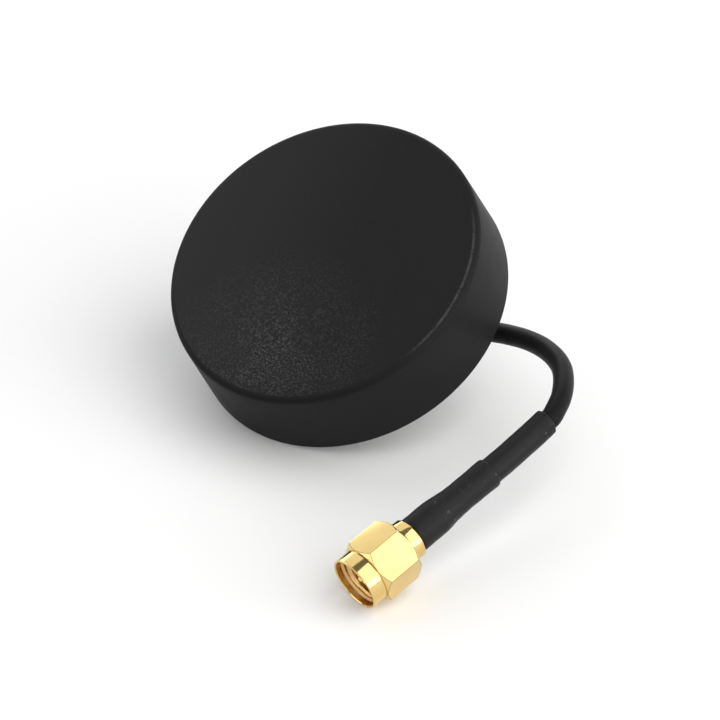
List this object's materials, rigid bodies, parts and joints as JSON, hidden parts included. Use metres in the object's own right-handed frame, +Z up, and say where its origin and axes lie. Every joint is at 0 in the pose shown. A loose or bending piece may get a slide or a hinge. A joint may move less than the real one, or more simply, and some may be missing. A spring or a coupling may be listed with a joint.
{
  "type": "gnss antenna",
  "caption": "Low round puck antenna for satellite positioning, with a hollow threaded mounting stud and a short coaxial pigtail ending in a threaded gold plug.",
  "frame": {"origin": "on the table, at the middle of the box around the puck, its stud, washer and nut, without the free cable and its plug", "axes": "+Z up from the table the antenna lies on; the puck leans about X, with its top facing -Y and up; +X towards the side where the cable leaves"},
  "size_m": [0.0645, 0.0617, 0.0328],
  "materials": {
    "black_plastic": "fine even grain on the top face, satin on the wall",
    "foam": "closed-cell foam, matte",
    "seal_rubber": "matte",
    "cable_black": "semi-matte extruded jacket",
    "sleeve_black": "shrunk sleeve, semi-matte",
    "zinc": "zinc or nickel plated, satin",
    "gold": "polished gold plate",
    "gasket_red": "silicone",
    "spring_bronze": "plain spring metal",
    "ptfe": "turned, waxy",
    "tinplate": "tinned, bright",
    "silver": "fired silver or solder",
    "board_green": "solder mask over glass laminate",
    "tape_white": "double-sided foam tape",
    "ceramic": "fired ceramic, matte",
    "chip_black": "moulded package"
  },
  "bodies": {
    "antenna": {"radome": "black_plastic", "base_plate": "black_plastic", "seal_ring": "seal_rubber", "foam_pad": "foam", "base_screw_1": "zinc", "base_screw_2": "zinc", "base_screw_3": "zinc", "base_screw_4": "zinc", "mounting_stud": "zinc", "circuit_board": "board_green", "shield_can": "tinplate", "lna_chip": "chip_black", "saw_filter": "chip_black", "patch_tape": "tape_white", "patch_ceramic": "ceramic", "patch_electrode": "silver", "patch_feed_pin": "silver", "coax_inner_run": "cable_black", "coax_braid_end": "tinplate", "coax_core_end": "silver", "coax_cable": "cable_black", "inner_sleeve": "sleeve_black", "outer_sleeve": "sleeve_black", "crimp_ferrule": "gold", "connector_body": "gold", "snap_ring": "spring_bronze", "ptfe_insulator": "ptfe", "centre_pin": "gold"},
    "plug_nut": {"coupling_nut": "gold", "nut_gasket": "gasket_red"},
    "stud_washer": {"lock_washer": "zinc"},
    "stud_nut": {"mounting_nut": "zinc"}
  },
  "joints": [
    {"name": "coupling_nut_spin", "type": "hinge", "parent": "antenna", "child": "plug_nut", "pos_m": [0.0354, -0.0384, 0.00363], "axis": [0.1512, 0.9443, 0.2924], "continuous": true},
    {"name": "stud_travel", "type": "slide", "parent": "antenna", "child": "stud_washer", "axis": [0, 0.515, -0.8572], "range_m": [0, 0.001]},
    {"name": "stud_nut_spin", "type": "hinge", "parent": "stud_washer", "child": "stud_nut", "pos_m": [0, 0.00284, 0.01146], "axis": [0, 0.515, -0.8572], "range_deg": [0, 360]}
  ],
  "couplings": [
    {"joint": "stud_travel", "follows": "stud_nut_spin", "m_per_rad": 0.00015915}
  ]
}
